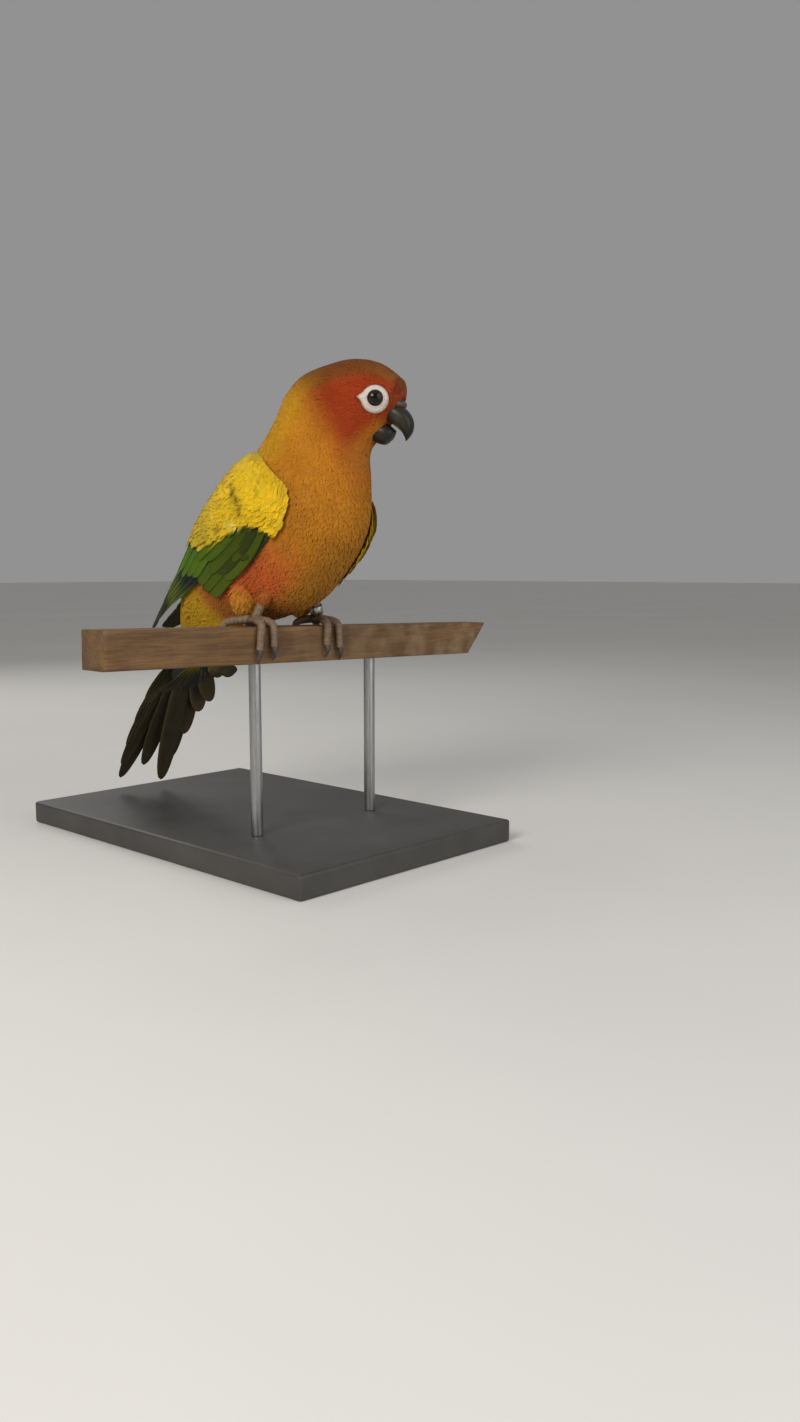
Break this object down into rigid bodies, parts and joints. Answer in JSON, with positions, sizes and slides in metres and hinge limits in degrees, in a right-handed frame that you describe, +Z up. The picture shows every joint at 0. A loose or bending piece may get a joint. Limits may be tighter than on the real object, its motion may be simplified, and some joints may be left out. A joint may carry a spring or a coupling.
{
  "type": "sun conure",
  "caption": "Still, life-size model of a sun conure gripping a short length of sawn timber, held over a flat base by short rods.",
  "frame": {"origin": "middle of the underside of the base, which is also the middle of the whole part's plan", "axes": "+Z up, +X the way the bird's body faces, +Y the bird's left, along the perch"},
  "size_m": [0.228, 0.258, 0.242],
  "materials": {
    "head_feathers": "soft matt feathers, red-orange on the face and orange on the crown",
    "neck_feathers": "soft matt feathers, golden orange",
    "body_feathers": "soft matt feathers, golden on the breast to salmon orange on the flanks",
    "rump_feathers": "soft matt feathers, yellow with an olive tinge",
    "thigh_feathers": "soft matt feathers, orange-yellow",
    "wing_feathers": "sleek feathers, yellow coverts, green and blue-black flight feathers",
    "tail_feathers": "sleek feathers, dark olive",
    "foot_skin": "dry scaly skin, pinkish grey",
    "claws": "dark horn, satin",
    "bill_horn": "dark horn, satin with fine growth lines",
    "eyes": "wet gloss, very dark brown",
    "band_metal": "plain bright metal",
    "perch_wood": "rough sawn, reddish brown, weathered",
    "stand_paint": "satin black",
    "rod_steel": "satin"
  },
  "bodies": {
    "root": {"bill_lower": "bill_horn", "bill_upper": "bill_horn", "claw_left_1": "claws", "claw_left_2": "claws", "claw_left_3": "claws", "claw_left_4": "claws", "claw_right_1": "claws", "claw_right_2": "claws", "claw_right_3": "claws", "claw_right_4": "claws", "eye_left": "eyes", "eye_right": "eyes", "foot_left": "foot_skin", "foot_right": "foot_skin", "head": "head_feathers", "leg_band": "band_metal", "neck": "neck_feathers", "perch": "perch_wood", "rump": "rump_feathers", "stand_base": "stand_paint", "stand_rod_1": "rod_steel", "stand_rod_2": "rod_steel", "tail": "tail_feathers", "thigh_left": "thigh_feathers", "thigh_right": "thigh_feathers", "torso": "body_feathers", "wing_left": "wing_feathers", "wing_right": "wing_feathers"}
  },
  "joints": []
}
